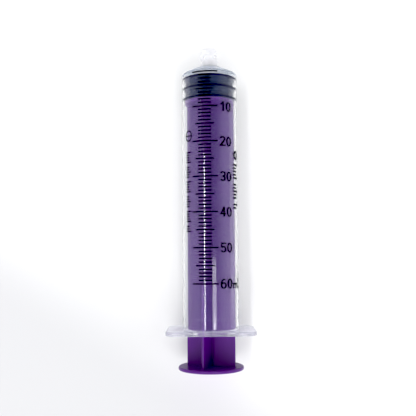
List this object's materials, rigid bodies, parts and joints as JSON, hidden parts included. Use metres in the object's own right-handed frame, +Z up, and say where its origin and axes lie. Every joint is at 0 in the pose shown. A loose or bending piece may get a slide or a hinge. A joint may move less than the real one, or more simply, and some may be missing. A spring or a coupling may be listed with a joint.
{
  "type": "oral syringe",
  "caption": "Clear enteral dosing syringe with a printed scale, finger flange, threaded tip, ribbed rubber gasket and cross-section plunger rod.",
  "frame": {"origin": "centre of the bounding box in plan, on the plane that the finger flange's long edge rests on", "axes": "+Y along the syringe's axis towards the tip, +X along the flange's long side, +Z up towards the printed scale"},
  "size_m": [0.045, 0.1658, 0.034],
  "materials": {
    "clear_plastic": "glossy, slightly milky clear polypropylene",
    "purple_plastic": "satin moulded purple polypropylene",
    "gasket_rubber": "silicone-oiled dark rubber",
    "black_ink": "flat printed ink"
  },
  "bodies": {
    "barrel": {"barrel": "clear_plastic", "scale_marks_10ml": "black_ink", "scale_marks_5ml": "black_ink", "scale_marks_1ml": "black_ink", "scale_numerals": "black_ink", "scale_unit": "black_ink", "side_print_left": "black_ink", "side_print_right": "black_ink"},
    "gasket": {"gasket": "gasket_rubber"},
    "plunger_rod": {"plunger_rod": "purple_plastic"}
  },
  "joints": [
    {"name": "plunger_slide", "type": "slide", "parent": "barrel", "child": "gasket", "axis": [0, -1, 0], "range_m": [-0.001, 0.1115]},
    {"name": "rod_swivel", "type": "hinge", "parent": "gasket", "child": "plunger_rod", "pos_m": [0, 0.057, 0.017], "axis": [0, 1, 0], "continuous": true}
  ]
}
